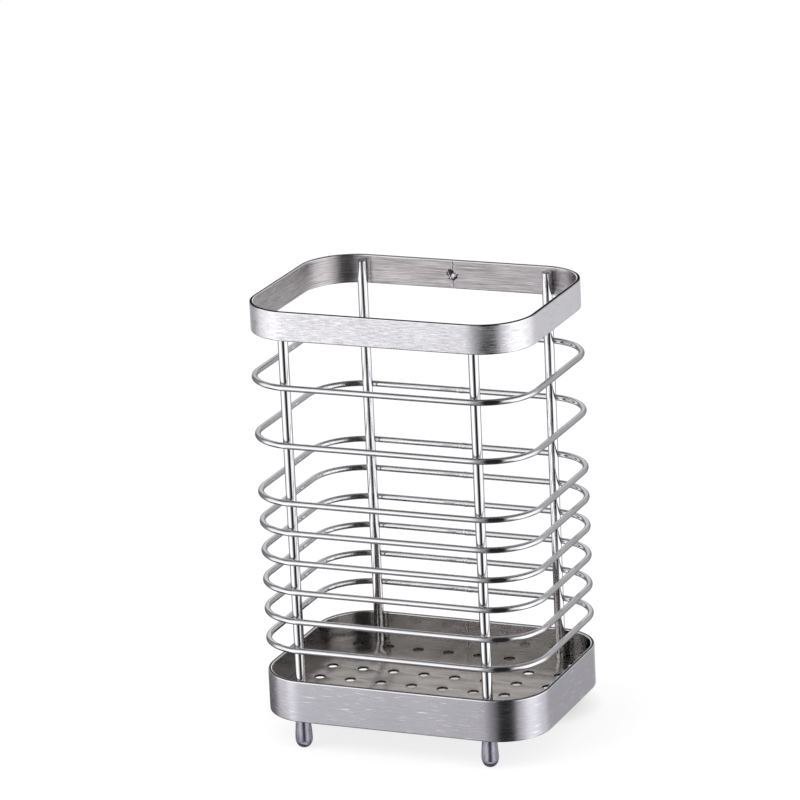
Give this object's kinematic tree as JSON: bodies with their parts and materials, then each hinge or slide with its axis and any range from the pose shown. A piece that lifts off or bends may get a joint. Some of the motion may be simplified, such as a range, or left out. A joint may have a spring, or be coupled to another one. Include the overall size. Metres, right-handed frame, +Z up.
{
  "type": "wall-mounted utensil drying rack",
  "caption": "Wall-hung utensil drying rack: wire rings and a flat band welded round upright rods, over a perforated drip tray on clear foot caps, hung by a headed stud.",
  "frame": {"origin": "bottom centre of the bounding box: on the surface that the foot caps stand on, midway across the width and between the front of the rings and the back of the hanging stud", "axes": "+X to the right along the long front side, +Y from the front towards the wall, +Z up"},
  "size_m": [0.1112, 0.086, 0.1684],
  "materials": {
    "brushed_band": "lengthwise brushed stainless steel",
    "brushed_floor": "brushed stainless sheet",
    "polished_rod": "polished stainless rod",
    "polished_wire": "polished stainless wire",
    "turned_stud": "turned stainless steel",
    "clear_cap": "clear soft PVC"
  },
  "bodies": {
    "root": {"top_band": "brushed_band", "tray_band": "brushed_band", "tray_floor": "brushed_floor", "hanging_stud": "turned_stud", "rod_front_left": "polished_rod", "rod_front_right": "polished_rod", "rod_back_left": "polished_rod", "rod_back_right": "polished_rod", "ring_1": "polished_wire", "ring_2": "polished_wire", "ring_3": "polished_wire", "ring_4": "polished_wire", "ring_5": "polished_wire", "ring_6": "polished_wire", "ring_7": "polished_wire", "ring_8": "polished_wire", "foot_cap_front_left": "clear_cap", "foot_cap_front_right": "clear_cap", "foot_cap_back_left": "clear_cap", "foot_cap_back_right": "clear_cap"}
  },
  "joints": []
}
